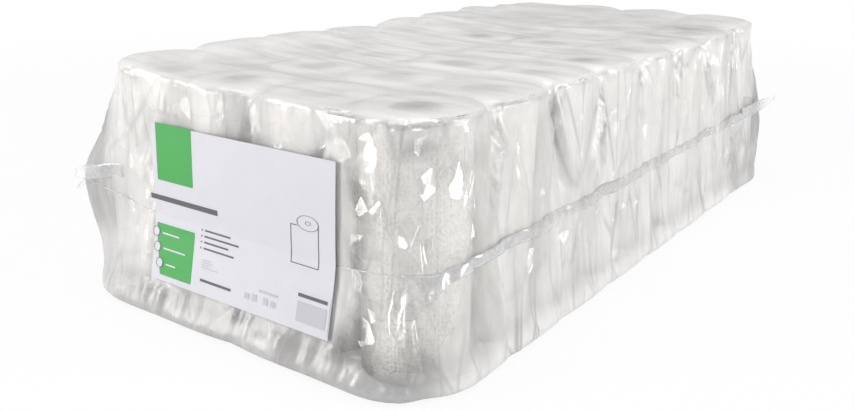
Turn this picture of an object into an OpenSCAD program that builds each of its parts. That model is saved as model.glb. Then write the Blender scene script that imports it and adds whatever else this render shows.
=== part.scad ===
// Catering pack of kitchen rolls. The rolls stand upright in one layer, wrapped two by
// two in thin film, and a sealed film bag with a sticker on one end holds them together.
// X runs across the pack, Y along it and Z up. The origin is at the middle of the bag's
// outline on the surface that it stands on.

/* [Rolls] */
// Rolls across the pack, which are wrapped in twos
rolls_across = 4; // [2:2:4]
// Rolls along the pack
rolls_along = 8; // [4:1:8]
// Outer diameter of a roll
roll_d = 98; // [80:1:120]
// Height of a roll, which is the width of its paper
roll_h = 224; // [180:1:260]
// Step at the free edge of the outer turn
tail_step = 0.8; // [0.4:0.1:1.5]
// Grooves on the end faces where the turns lie apart
turn_grooves = 4; // [1:1:6]
// Width of such a groove
turn_groove_w = 0.7; // [0.4:0.1:1]
// Depth of such a groove
turn_groove_depth = 0.6; // [0.3:0.1:1.5]

/* [Card cores] */
// Outer diameter of a core
core_d = 42; // [34:1:50]
// Wall of a core
core_wall = 1.2; // [0.8:0.1:2]

/* [Twin packs] */
// Thickness of the inner film
wrap_t = 0.4; // [0.3:0.1:0.8]
// Depth to which the inner film is pulled in between its two rolls
waist_depth = 4; // [2:0.5:8]
// Stretch on each side of the middle along which it is pulled in
waist_reach = 40; // [30:1:42]
// Room between neighbouring twin packs
pack_gap = 0.6; // [0.4:0.1:2]

/* [Outer bag] */
// Thickness of the bag's film
film_t = 0.6; // [0.4:0.1:1]
// Room between the twin packs and the wall of the bag
film_gap = 0.6; // [0.6:0.1:2]
// Depth of the hollows between neighbouring packs
hollow_depth = 14; // [6:1:18]
// Depth of the hollows at the waist of a twin pack
waist_hollow = 2.5; // [1:0.5:3.5]
// Fall of the film between neighbouring packs along the top edge
edge_dip = 8; // [2:1:8]
// How far the bag stands off the rolls on the left, at the height of the seam
slack_left = 45; // [10:1:60]
// The same on the right
slack_right = 5; // [2:1:20]
// The same on the end with the sticker
slack_front = 5; // [2:1:20]
// The same on the far end
slack_back = 60; // [10:1:70]
// How far the bag stands off the rolls on the left, at the floor
foot_left = 40; // [10:1:60]
// The same on the right
foot_right = 16; // [2:1:30]
// The same on the end with the sticker
foot_front = 24; // [2:1:30]
// The same on the far end
foot_back = 60; // [10:1:70]
// Depth of the gathers that run into the seam
gather_depth = 2.2; // [0.5:0.1:4]

/* [Seam] */
// Height of the seam as a share of the height of the bag
seam_share = 0.43; // [0.35:0.01:0.6]
// Width of the sealed flap on three sides of the bag
flap_w = 17; // [8:1:25]
// Thickness of the flap
flap_t = 1.2; // [0.8:0.1:2]
// Reach of the fold line on the end with the sticker, where the bag has no seal
fold_w = 0.8; // [0.5:0.1:2]
// Extra reach of the flap at the corners
ear_w = 14; // [4:1:25]
// Fall of the flap over its width
flap_fall = 0.45; // [0.2:0.05:0.8]

/* [Sticker] */
// Width of the sticker
label_w = 228; // [160:1:230]
// Height of the sticker
label_h = 149; // [100:1:155]
// Thickness of the sticker
label_t = 0.3; // [0.2:0.1:0.6]
// Distance of its middle from the middle of the rolls, to the right
label_x = -4; // [-16:1:16]
// Height of its lower edge over the surface
label_z = 36; // [15:1:40]

/* [Hidden] */

$fn = 96;
// Room that a soft piece keeps to its neighbour
soft_gap = 0.3;
// Overshoot of a cutter
cut = 1;

wrap_r = roll_d / 2 + soft_gap + wrap_t;
in_pitch = roll_d + soft_gap;
twin_l = in_pitch + 2 * wrap_r;
across_pitch = twin_l + pack_gap;
along_pitch = 2 * wrap_r + pack_gap;
block_x = rolls_across / 2 * across_pitch - pack_gap;
block_y = rolls_along * along_pitch - pack_gap;

wrap_z = film_t;
wrap_h = roll_h + 2 * wrap_t + soft_gap;
roll_z = wrap_z + wrap_t;
bag_inner_top = wrap_z + wrap_h + soft_gap;
bag_h = bag_inner_top + film_t;
seam_z = seam_share * bag_h;

function twin_name(p) = str("twin_wrap_", p);
function roll_name(r) = str("paper_roll_", r);
function cores_name(c) = str("card_cores_", c);

// Places of the rolls, with column 0 on the left and row 0 at the sticker
function column_x(i) = -block_x / 2 + wrap_r + floor(i / 2) * across_pitch + (i % 2) * in_pitch;
function row_y(j) = -block_y / 2 + wrap_r + j * along_pitch;

// The bag's wall is a ring of stations at each level. A station is [point on the line of
// roll centres, outward direction, distance along that line from the nearest roll's
// centre, share of the hollow, true between two packs].
bay_steps = 8;
corner_steps = 8;

function bay(a, b, out, between) = [
    for (k = [0:bay_steps - 1])
        let (t = k / bay_steps, near = min(t, 1 - t))
        [a + t * (b - a), out, near * norm(b - a), pow(2 * near, 2), between]];
function corner(centre, angle) = [
    for (k = [0:corner_steps - 1])
        let (turn = angle + 90 * k / corner_steps)
        [centre, [cos(turn), sin(turn)], 0, 0, false]];

last_i = rolls_across - 1;
last_j = rolls_along - 1;
function centre(i, j) = [column_x(i), row_y(j)];
front_side = [for (i = [0:last_i - 1])
    each bay(centre(i, 0), centre(i + 1, 0), [0, -1], i % 2 == 1)];
right_side = [for (j = [0:last_j - 1])
    each bay(centre(last_i, j), centre(last_i, j + 1), [1, 0], true)];
back_side = [for (i = [last_i:-1:1])
    each bay(centre(i, last_j), centre(i - 1, last_j), [0, 1], i % 2 == 0)];
left_side = [for (j = [last_j:-1:1])
    each bay(centre(0, j), centre(0, j - 1), [-1, 0], true)];
stations = concat(
    front_side, corner(centre(last_i, 0), -90),
    right_side, corner(centre(last_i, last_j), 0),
    back_side, corner(centre(0, last_j), 90),
    left_side, corner(centre(0, 0), 180));

// Levels of the wall: [height, share of the slack at the seam, share of the slack at the
// floor, share of the hollow, share of the gathers]. Below the seam the height is a share
// of the seam's, and above it a share of what is left up to the top.
low_levels = [
    [0.04, 0.05, 1.00, 0.22, 0.2], [0.14, 0.20, 0.90, 0.22, 0.3],
    [0.50, 0.62, 0.48, 0.24, 0.5], [0.86, 0.95, 0.10, 0.26, 1.0]];
high_levels = [
    [0.14, 0.94, 0, 0.28, 1.0], [0.40, 0.70, 0, 0.40, 0.5],
    [0.70, 0.32, 0, 0.66, 0.3], [0.88, 0.12, 0, 0.88, 0.1]];
floor_level = [0, 0.03, 0.88, 0.22, 0];
seam_level = [1, 1, 0, 0.25, 1];
roof_level = [1, 0, 0, 1, 0];
function raised(level, z) = [z, level[1], level[2], level[3], level[4]];
function low(level) = raised(level, level[0] * seam_z);
function high(level) = raised(level, seam_z + level[0] * (bag_h - seam_z));

// Share of the way out to a side, so that values blend round the corners
function side_mix(out, left, right, front, back) =
    pow(out[0], 2) * (out[0] < 0 ? left : right) + pow(out[1], 2) * (out[1] < 0 ? front : back);
function slack(out, level) =
    level[1] * side_mix(out, slack_left, slack_right, slack_front, slack_back)
    + level[2] * side_mix(out, foot_left, foot_right, foot_front, foot_back);
function flap(out) = side_mix(out, flap_w, flap_w, fold_w, flap_w)
    + ear_w * pow(2 * out[0] * out[1], 6);
function gathers(s, out) = gather_depth * (s % 2) * side_mix(out, 1, 1, 0, 1);
function hollow(station) = station[3] * (station[4] ? hollow_depth : waist_hollow);
function dip(station) = station[4] ? edge_dip * pow(station[3], 2) : 0;

// Point of station s, r away from the line of roll centres
function out_point(s, r, z) = concat(stations[s][0] + r * stations[s][1], [z]);
// Point of station s on the wall at a level, off the packs by gap and reaching out by reach
function wall_point(s, level, gap, reach = 0, drop = 0) =
    let (station = stations[s], out = station[1])
    out_point(s, wrap_r + gap + reach - hollow(station) * level[3]
        + slack(out, level) + gathers(s, out) * level[4], level[0] - drop);

count = len(stations);
function ring(level, gap) = [for (s = [0:count - 1]) wall_point(s, level, gap)];
function dipped_ring(z, gap) = [for (s = [0:count - 1])
    wall_point(s, raised(roof_level, z), gap, 0, dip(stations[s]))];
function flap_ring(side) = [for (s = [0:count - 1])
    let (reach = flap(stations[s][1]))
    wall_point(s, low(seam_level), outer_gap, reach, reach * flap_fall - side * flap_t / 2)];
function root_ring(side) = [for (s = [0:count - 1])
    wall_point(s, low(seam_level), outer_gap, 0, -side * flap_t / 2)];

// On top the film lies flat as far as the edge of the packs, along a crown of arcs
crown_margin = 2;
crown_least = 0.36 * wrap_r;
roof_r = 0.2 * wrap_r;
function crown_r(station) = station[4]
    ? max(crown_least, sqrt(max(0, pow(wrap_r, 2) - pow(station[2], 2)))
        + crown_margin * (3 * station[3] - 1))
    : wrap_r - crown_margin - hollow(station);
function crown_ring(z) = [for (s = [0:count - 1]) out_point(s, crown_r(stations[s]), z)];
function roof_ring(z) = [for (s = [0:count - 1]) out_point(s, roof_r, z)];

outer_gap = film_gap + film_t;
outer_rings = concat(
    [ring(low(floor_level), film_gap)],
    [ring(raised(floor_level, film_t), outer_gap)],
    [for (level = low_levels) ring(low(level), outer_gap)],
    [root_ring(-1), flap_ring(-1), flap_ring(1), root_ring(1)],
    [for (level = high_levels) ring(high(level), outer_gap)],
    [dipped_ring(bag_h - film_t, outer_gap), dipped_ring(bag_h, film_gap)],
    [crown_ring(bag_h), roof_ring(bag_h)]);
inner_rings = concat(
    [ring(raised(floor_level, film_t), film_gap)],
    [for (level = low_levels) ring(low(level), film_gap)],
    [ring(low(seam_level), film_gap)],
    [for (level = high_levels) ring(high(level), film_gap)],
    [dipped_ring(bag_inner_top, film_gap)],
    [crown_ring(bag_inner_top), roof_ring(bag_inner_top)]);

// The sticker's back follows the end of the bag: pairs of height and distance from the
// middle of the rolls
end_levels = concat(
    [for (level = low_levels) low(level)],
    [low(seam_level)],
    [for (level = high_levels) high(level)]);
end_table = [for (level = end_levels)
    [level[0], block_y / 2 + outer_gap + fold_w + soft_gap + slack([0, -1], level)]];
label_heights = concat(
    [label_z],
    [for (pair = end_table) if (pair[0] > label_z && pair[0] < label_z + label_h) pair[0]],
    [label_z + label_h]);
label_back = [for (z = label_heights) [z, -lookup(z, end_table)]];

// Middle of the whole outline, which the origin lies under
outline = concat([for (r = outer_rings) each r], [for (p = label_back) [0, p[1] - label_t, p[0]]]);
outline_x = [for (p = outline) p[0]];
outline_y = [for (p = outline) p[1]];
middle = [max(outline_x) + min(outline_x), max(outline_y) + min(outline_y), 0] / 2;

// Closed skin over a stack of rings, with a fan over each end
module skin(rings) {
    n = len(rings[0]);
    m = len(rings);
    low_middle = [0, 0, rings[0][0][2]];
    high_middle = [0, 0, rings[m - 1][0][2]];
    points = concat([for (r = rings) each r], [low_middle, high_middle]);
    walls = [for (k = [0:m - 2]) for (s = [0:n - 1])
        let (
            a = k * n + s,
            b = k * n + (s + 1) % n,
            c = b + n,
            d = a + n)
        each [[a, c, b], [a, d, c]]];
    floor_fan = [for (s = [0:n - 1]) [m * n, s, (s + 1) % n]];
    roof_fan = [for (s = [0:n - 1]) [m * n + 1, (m - 1) * n + (s + 1) % n, (m - 1) * n + s]];
    polyhedron(points = points, faces = concat(walls, floor_fan, roof_fan), convexity = 8);
}

module outer_bag() {
    color([0.93, 0.94, 0.95, 0.35])
        difference() {
            skin(outer_rings);
            skin(inner_rings);
        }
}

module label() {
    front = [for (k = [len(label_back) - 1:-1:0]) label_back[k] - [0, label_t]];
    color([0.92, 0.92, 0.95])
        translate([label_x - label_w / 2, 0, 0])
            multmatrix([[0, 0, 1, 0], [0, 1, 0, 0], [1, 0, 0, 0], [0, 0, 0, 1]])
                linear_extrude(label_w) polygon(concat(label_back, front));
}

// Outline of a twin pack round its two rolls, with the film pulled in at the waist
module twin_outline(r, blend) {
    waist_r = (pow(waist_reach, 2) + pow(waist_depth, 2)) / (2 * waist_depth);
    half = in_pitch / 2;
    difference() {
        union() {
            for (side = [-1, 1])
                translate([side * half, 0]) circle(r = r);
            square([in_pitch, 2 * r], center = true);
        }
        for (side = [-1, 1])
            translate([0, side * (wrap_r + waist_r - waist_depth)]) circle(r = waist_r + blend);
    }
}

module twin_wrap(p) {
    pair = (p - 1) % (rolls_across / 2);
    j = floor((p - 1) / (rolls_across / 2));
    x = (column_x(2 * pair) + column_x(2 * pair + 1)) / 2;
    color([0.95, 0.96, 0.97, 0.35])
        translate([x, row_y(j), wrap_z])
            difference() {
                linear_extrude(wrap_h) twin_outline(wrap_r, 0);
                translate([0, 0, wrap_t])
                    linear_extrude(wrap_h - 2 * wrap_t) twin_outline(wrap_r - wrap_t, wrap_t);
            }
}

// The outer turn as two half discs, which leave a step where the paper ends
module turn_outline() {
    r = roll_d / 2;
    intersection() {
        circle(r = r);
        translate([-r, 0]) square([2 * r, r]);
    }
    translate([tail_step / 2, 0])
        intersection() {
            circle(r = r - tail_step / 2);
            translate([-r, -r]) square([2 * r, r]);
        }
}

module turn_groove(r) {
    rotate_extrude()
        translate([r, -turn_groove_depth]) square([turn_groove_w, turn_groove_depth + cut]);
}

module paper_roll(r) {
    i = (r - 1) % rolls_across;
    j = floor((r - 1) / rolls_across);
    bore_r = core_d / 2 + soft_gap;
    groove_step = (roll_d / 2 - bore_r) / (turn_grooves + 1);
    color([0.96, 0.94, 0.90])
        translate([column_x(i), row_y(j), roll_z])
            rotate(i % 2 == 0 ? 200 : 20)
                difference() {
                    linear_extrude(roll_h) turn_outline();
                    translate([0, 0, -cut]) cylinder(h = roll_h + 2 * cut, r = bore_r);
                    for (k = [1:turn_grooves]) {
                        translate([0, 0, roll_h]) turn_groove(bore_r + k * groove_step);
                        mirror([0, 0, 1]) turn_groove(bore_r + k * groove_step);
                    }
                }
}

// The cores of one row, each a separate tube
module card_cores(c) {
    color([0.78, 0.72, 0.62])
        for (i = [0:last_i])
            translate([column_x(i), row_y(c - 1), roll_z])
                difference() {
                    cylinder(h = roll_h, r = core_d / 2);
                    translate([0, 0, -cut]) cylinder(h = roll_h + 2 * cut, r = core_d / 2 - core_wall);
                }
}

module place() {
    translate(-middle) children();
}

place() outer_bag();
place() label();
for (p = [1:rolls_across / 2 * rolls_along])
    place() twin_wrap(p);
for (r = [1:rolls_across * rolls_along])
    place() paper_roll(r);
for (c = [1:rolls_along])
    place() card_cores(c);
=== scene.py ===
# Catering pack of kitchen rolls in its film bag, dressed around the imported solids.
import math
import bpy
import bmesh
import numpy as np
from mathutils import Matrix, Vector, noise


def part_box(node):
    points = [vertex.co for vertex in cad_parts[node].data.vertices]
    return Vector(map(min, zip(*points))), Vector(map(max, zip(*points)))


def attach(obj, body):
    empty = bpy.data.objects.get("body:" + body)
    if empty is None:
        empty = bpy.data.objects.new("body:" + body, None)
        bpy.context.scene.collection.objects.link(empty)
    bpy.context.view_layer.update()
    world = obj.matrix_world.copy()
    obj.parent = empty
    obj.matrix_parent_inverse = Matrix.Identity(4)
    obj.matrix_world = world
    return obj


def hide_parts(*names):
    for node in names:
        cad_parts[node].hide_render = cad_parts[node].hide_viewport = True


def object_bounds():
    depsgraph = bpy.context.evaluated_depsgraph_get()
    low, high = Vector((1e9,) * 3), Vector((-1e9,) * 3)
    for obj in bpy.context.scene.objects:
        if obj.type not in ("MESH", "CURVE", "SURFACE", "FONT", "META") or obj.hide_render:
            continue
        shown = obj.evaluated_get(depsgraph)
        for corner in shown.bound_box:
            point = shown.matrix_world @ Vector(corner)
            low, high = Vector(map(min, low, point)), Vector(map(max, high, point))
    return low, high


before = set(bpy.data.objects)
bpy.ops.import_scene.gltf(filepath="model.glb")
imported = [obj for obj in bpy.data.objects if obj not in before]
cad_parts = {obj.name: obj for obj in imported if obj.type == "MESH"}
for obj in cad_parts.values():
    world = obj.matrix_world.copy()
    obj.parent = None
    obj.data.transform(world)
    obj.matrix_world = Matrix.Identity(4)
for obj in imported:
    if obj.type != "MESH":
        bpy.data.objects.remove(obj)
cadBox = [list(corner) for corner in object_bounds()]


def nodesOf(kind):
    return sorted((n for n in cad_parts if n.startswith(kind)), key=lambda n: int(n.split("_")[-1]))


rollNames, twinNames, coreNames = nodesOf("paper_roll"), nodesOf("twin_wrap"), nodesOf("card_cores")


def middleOf(node):
    low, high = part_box(node)
    return (low + high) / 2


# The block of rolls, which everything else is set against
blockLow = Vector([min(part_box(n)[0][k] for n in twinNames) for k in range(3)])
blockHigh = Vector([max(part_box(n)[1][k] for n in twinNames) for k in range(3)])
blockMid = (blockLow + blockHigh) / 2
print("frame loaded,", len(rollNames), "rolls")

camera = {"lens": 36.86, "place": (0.5546, -0.8973, 0.3655), "yaw": 35.82, "down": 18.08, "roll": 0.43}
lights = {
    "key": {"place": (-1.70, -2.1, 0.80), "size": 1.5, "power": 41, "colour": (1, 0.975, 0.945)},
    "side": {"place": (2.6, 0.85, 1.1), "size": 1.5, "power": 49, "colour": (1, 0.985, 0.97)},
    "top": {"place": (-0.1, -0.35, 2.5), "size": 2.0, "power": 27, "colour": (1, 1, 1)},
    "card": {"place": (0.35, -2.5, 0.42), "size": 0.30, "power": 1.9, "colour": (1, 1, 1)},
    "lowCard": {"place": (1.9, -1.5, 0.30), "size": 0.28, "power": 1.6, "colour": (1, 1, 1)},
}
stageLook = {"size": 14, "floor": (0.86, 0.865, 0.87), "world": (0.97, 0.98, 1), "strength": 0.38, "clear": 0.9}


def aimed(obj, target):
    obj.rotation_euler = (Vector(target) - obj.location).to_track_quat("-Z", "Y").to_euler()


def makeCamera():
    data = bpy.data.cameras.new("camera")
    data.lens = camera["lens"]
    obj = bpy.data.objects.new("camera", data)
    bpy.context.scene.collection.objects.link(obj)
    turn = (Matrix.Rotation(math.radians(camera["yaw"]), 4, "Z")
            @ Matrix.Rotation(math.radians(90 - camera["down"]), 4, "X")
            @ Matrix.Rotation(math.radians(camera["roll"]), 4, "Z"))
    place = Vector(camera["place"]) + Vector((blockMid.x, blockMid.y, 0))
    obj.matrix_world = Matrix.Translation(place) @ turn
    bpy.context.scene.camera = obj


def makeLights():
    for name, spec in lights.items():
        data = bpy.data.lights.new(name, "AREA")
        data.shape = "DISK"
        data.size = spec["size"]
        data.energy = spec["power"]
        data.color = spec["colour"]
        obj = bpy.data.objects.new(name, data)
        obj.location = Vector(spec["place"])
        aimed(obj, (blockMid.x, blockMid.y, 0.1))
        bpy.context.scene.collection.objects.link(obj)


# Node helpers: add() makes a node and sets its values, join() links two sockets
def add(tree, kind, **values):
    made = tree.nodes.new(kind)
    for key, value in values.items():
        if hasattr(made, key):
            setattr(made, key, value)
        else:
            made.inputs[key.replace("_", " ")].default_value = value
    return made


def join(tree, source, target):
    tree.links.new(source, target)


def blankMaterial(name):
    made = bpy.data.materials.new(name)
    made.use_nodes = True
    made.node_tree.nodes.clear()
    tree = made.node_tree
    out = add(tree, "ShaderNodeOutputMaterial")
    shader = add(tree, "ShaderNodeBsdfPrincipled")
    join(tree, shader.outputs[0], out.inputs[0])
    return made, tree, shader, out


def math2(tree, operation, a, b):
    made = tree.nodes.new("ShaderNodeMath")
    made.operation = operation
    for socket, value in zip(made.inputs, (a, b)):
        if isinstance(value, (int, float)):
            socket.default_value = value
        else:
            tree.links.new(value, socket)
    return made.outputs[0]


def ramp(tree, source, low, high, out=(0, 1)):
    made = tree.nodes.new("ShaderNodeMapRange")
    made.inputs["From Min"].default_value = low
    made.inputs["From Max"].default_value = high
    made.inputs["To Min"].default_value = out[0]
    made.inputs["To Max"].default_value = out[1]
    tree.links.new(source, made.inputs["Value"])
    return made.outputs[0]


def makeFacetGroup():
    # Crumpled film: flat facets with a tilt of their own, and the creases between them
    group = bpy.data.node_groups.new("filmFacets", "ShaderNodeTree")
    face = group.interface
    face.new_socket(name="Place", in_out="INPUT", socket_type="NodeSocketVector")
    face.new_socket(name="Turn", in_out="INPUT", socket_type="NodeSocketVector")
    face.new_socket(name="Scale", in_out="INPUT", socket_type="NodeSocketVector")
    face.new_socket(name="Width", in_out="INPUT", socket_type="NodeSocketFloat")
    face.new_socket(name="Tilt", in_out="OUTPUT", socket_type="NodeSocketFloat")
    face.new_socket(name="Crease", in_out="OUTPUT", socket_type="NodeSocketFloat")
    entry = add(group, "NodeGroupInput")
    leave = add(group, "NodeGroupOutput")
    spread = add(group, "ShaderNodeMapping")
    join(group, entry.outputs["Place"], spread.inputs["Vector"])
    join(group, entry.outputs["Turn"], spread.inputs["Rotation"])
    join(group, entry.outputs["Scale"], spread.inputs["Scale"])
    cells = add(group, "ShaderNodeTexVoronoi", Scale=1.0)
    edges = add(group, "ShaderNodeTexVoronoi", feature="DISTANCE_TO_EDGE", Scale=1.0)
    join(group, spread.outputs[0], cells.inputs["Vector"])
    join(group, spread.outputs[0], edges.inputs["Vector"])
    away = add(group, "ShaderNodeVectorMath", operation="SUBTRACT")
    join(group, spread.outputs[0], away.inputs[0])
    join(group, cells.outputs["Position"], away.inputs[1])
    lean = add(group, "ShaderNodeVectorMath", operation="SUBTRACT")
    lean.inputs[1].default_value = (0.5, 0.5, 0.5)
    join(group, cells.outputs["Color"], lean.inputs[0])
    tilt = add(group, "ShaderNodeVectorMath", operation="DOT_PRODUCT")
    join(group, away.outputs[0], tilt.inputs[0])
    join(group, lean.outputs[0], tilt.inputs[1])
    join(group, tilt.outputs["Value"], leave.inputs["Tilt"])
    crease = add(group, "ShaderNodeMapRange", interpolation_type="SMOOTHSTEP")
    join(group, edges.outputs["Distance"], crease.inputs["Value"])
    join(group, entry.outputs["Width"], crease.inputs["From Max"])
    crease.inputs["To Min"].default_value = 1
    crease.inputs["To Max"].default_value = 0
    join(group, crease.outputs[0], leave.inputs["Crease"])
    return group


def facets(tree, place, scale, width, turn=(0, 0, 0)):
    made = add(tree, "ShaderNodeGroup", node_tree=facetGroup)
    join(tree, place, made.inputs["Place"])
    made.inputs["Scale"].default_value = scale
    made.inputs["Turn"].default_value = [math.radians(t) for t in turn]
    made.inputs["Width"].default_value = width
    return made.outputs["Tilt"], made.outputs["Crease"]


facetGroup = makeFacetGroup()


def makeStage():
    floor, tree, shader, out = blankMaterial("floor")
    shader.inputs["Base Color"].default_value = (*stageLook["floor"], 1)
    shader.inputs["Roughness"].default_value = 0.8
    shader.inputs["Specular IOR Level"].default_value = 0.2
    white = add(tree, "ShaderNodeEmission", Color=(1, 1, 1, 1), Strength=1.0)
    path = add(tree, "ShaderNodeLightPath")
    seen = math2(tree, "MAXIMUM", path.outputs["Is Camera Ray"],
                 math2(tree, "MAXIMUM", path.outputs["Is Glossy Ray"], path.outputs["Is Transmission Ray"]))
    place = add(tree, "ShaderNodeTexCoord")
    away = add(tree, "ShaderNodeVectorMath", operation="LENGTH")
    join(tree, place.outputs["Object"], away.inputs[0])
    clear = ramp(tree, away.outputs["Value"], 0.9, 2.2, (stageLook["clear"], 1))
    mix = add(tree, "ShaderNodeMixShader")
    join(tree, math2(tree, "MULTIPLY", seen, clear), mix.inputs[0])
    join(tree, shader.outputs[0], mix.inputs[1])
    join(tree, white.outputs[0], mix.inputs[2])
    join(tree, mix.outputs[0], out.inputs[0])
    bpy.ops.mesh.primitive_plane_add(size=stageLook["size"], location=(blockMid.x, blockMid.y, cadBox[0][2] - 0.0005))
    plane = bpy.context.object
    plane.name = "floor"
    plane.data.materials.append(floor)
    world = bpy.data.worlds.new("studio")
    bpy.context.scene.world = world
    world.use_nodes = True
    tree = world.node_tree
    tree.nodes.clear()
    out = add(tree, "ShaderNodeOutputWorld")
    soft = add(tree, "ShaderNodeBackground", Color=(*stageLook["world"], 1), Strength=stageLook["strength"])
    white = add(tree, "ShaderNodeBackground", Color=(1, 1, 1, 1), Strength=1.0)
    path = add(tree, "ShaderNodeLightPath")
    seen = math2(tree, "MAXIMUM", path.outputs["Is Camera Ray"], path.outputs["Is Transmission Ray"])
    mix = add(tree, "ShaderNodeMixShader")
    join(tree, seen, mix.inputs[0])
    join(tree, soft.outputs[0], mix.inputs[1])
    join(tree, white.outputs[0], mix.inputs[2])
    join(tree, mix.outputs[0], out.inputs[0])


bpy.context.scene.view_settings.view_transform = "Standard"
makeCamera()
makeLights()
makeStage()
print("camera, lights and floor set")

# Shared tools for pieces


def deselect():
    if bpy.context.object and bpy.context.object.mode != "OBJECT":
        bpy.ops.object.mode_set(mode="OBJECT")
    bpy.ops.object.select_all(action="DESELECT")


def points(obj):
    co = np.zeros(len(obj.data.vertices) * 3)
    obj.data.vertices.foreach_get("co", co)
    return co.reshape(-1, 3)


def setPoints(obj, co):
    obj.data.vertices.foreach_set("co", np.asarray(co, np.float32).ravel())
    obj.data.update()


def shiftToOrigin(obj):
    obj.data.transform(obj.matrix_world)
    obj.matrix_world = Matrix.Identity(4)


def pick(obj):
    deselect()
    obj.select_set(True)
    bpy.context.view_layer.objects.active = obj


def closeUp(obj):
    pick(obj)
    bpy.ops.object.mode_set(mode="EDIT")
    bpy.ops.mesh.select_all(action="SELECT")
    bpy.ops.mesh.remove_doubles(threshold=0.00005)
    bpy.ops.mesh.normals_make_consistent(inside=False)
    bpy.ops.object.mode_set(mode="OBJECT")


def applyModifier(obj, kind, **values):
    made = obj.modifiers.new(kind.lower(), kind)
    for key, value in values.items():
        setattr(made, key, value)
    pick(obj)
    bpy.ops.object.modifier_apply(modifier=made.name)


def smoothNoise(co, scale, seed, stretch=(1, 1, 1)):
    move = Vector((seed * 7.31, seed * 3.17, seed * 5.73))
    return np.array([noise.noise(Vector((p[0] * stretch[0], p[1] * stretch[1], p[2] * stretch[2])) / scale + move)
                     for p in co])


def finishPiece(obj, replaced=()):
    for face in obj.data.polygons:
        face.use_smooth = True
    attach(obj, "root")
    if replaced:
        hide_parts(*replaced)
    return obj


# Paper rolls: embossed tissue wound on card

rollLook = {"sides": 72, "heightCuts": 15, "turns": 6, "turnLift": 0.0007, "shrink": 0.0009, "dent": 0.0016,
            "dentScale": 0.07, "tailStep": 0.0009, "colour": (0.90, 0.875, 0.835), "dotPitch": 0.0036,
            "motifPitch": 0.043}


def makePaper():
    made, tree, shader, out = blankMaterial("towel_paper")
    uv = add(tree, "ShaderNodeUVMap", uv_map="wound")
    dots = add(tree, "ShaderNodeTexVoronoi", Scale=1 / rollLook["dotPitch"], Randomness=0.5)
    join(tree, uv.outputs[0], dots.inputs["Vector"])
    cell = add(tree, "ShaderNodeVectorMath", operation="SCALE")
    cell.inputs["Scale"].default_value = 1 / rollLook["motifPitch"]
    join(tree, uv.outputs[0], cell.inputs[0])
    part = add(tree, "ShaderNodeVectorMath", operation="FRACTION")
    join(tree, cell.outputs[0], part.inputs[0])
    centred = add(tree, "ShaderNodeVectorMath", operation="SUBTRACT")
    centred.inputs[1].default_value = (0.5, 0.5, 0)
    join(tree, part.outputs[0], centred.inputs[0])
    length = add(tree, "ShaderNodeVectorMath", operation="LENGTH")
    join(tree, centred.outputs[0], length.inputs[0])
    split = add(tree, "ShaderNodeSeparateXYZ")
    join(tree, centred.outputs[0], split.inputs[0])
    turn = math2(tree, "ARCTAN2", split.outputs["Y"], split.outputs["X"])
    rings = math2(tree, "SINE", math2(tree, "ADD", math2(tree, "MULTIPLY", length.outputs["Value"], 58.0), turn), 0.0)
    inside = ramp(tree, length.outputs["Value"], 0.28, 0.22)
    motif = math2(tree, "MULTIPLY", rings, inside)
    dot = ramp(tree, dots.outputs["Distance"], 0.15, 0.55)
    relief = math2(tree, "ADD", math2(tree, "MULTIPLY", dot, 0.6), math2(tree, "MULTIPLY", motif, 0.35))
    fibre = add(tree, "ShaderNodeTexNoise", Scale=700.0, Detail=0.0)
    place = add(tree, "ShaderNodeTexCoord")
    join(tree, place.outputs["Object"], fibre.inputs["Vector"])
    relief = math2(tree, "ADD", relief, math2(tree, "MULTIPLY", fibre.outputs[0], 0.25))
    bump = add(tree, "ShaderNodeBump", Strength=1.0, Distance=0.0009)
    join(tree, relief, bump.inputs["Height"])
    join(tree, bump.outputs[0], shader.inputs["Normal"])
    cloud = add(tree, "ShaderNodeTexNoise", Scale=14.0, Detail=3.0)
    join(tree, place.outputs["Object"], cloud.inputs["Vector"])
    # Colour: a cloudy tone that varies at random, times painted shade that darkens the embossed dots
    tone = math2(tree, "MULTIPLY", ramp(tree, cloud.outputs[0], 0.3, 0.7, (0.93, 1.02)),
                 ramp(tree, dot, 0, 1, (0.89, 1.03)))
    colour = add(tree, "ShaderNodeMix", data_type="RGBA", blend_type="MULTIPLY")
    colour.inputs["Factor"].default_value = 1.0
    colour.inputs[6].default_value = (*rollLook["colour"], 1)
    both = add(tree, "ShaderNodeCombineColor")
    for k in range(3):
        join(tree, tone, both.inputs[k])
    join(tree, both.outputs[0], colour.inputs[7])
    join(tree, colour.outputs[2], shader.inputs["Base Color"])
    shader.inputs["Roughness"].default_value = 0.92
    shader.inputs["Specular IOR Level"].default_value = 0.15
    shader.inputs["Sheen Weight"].default_value = 0.15
    return made


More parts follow.
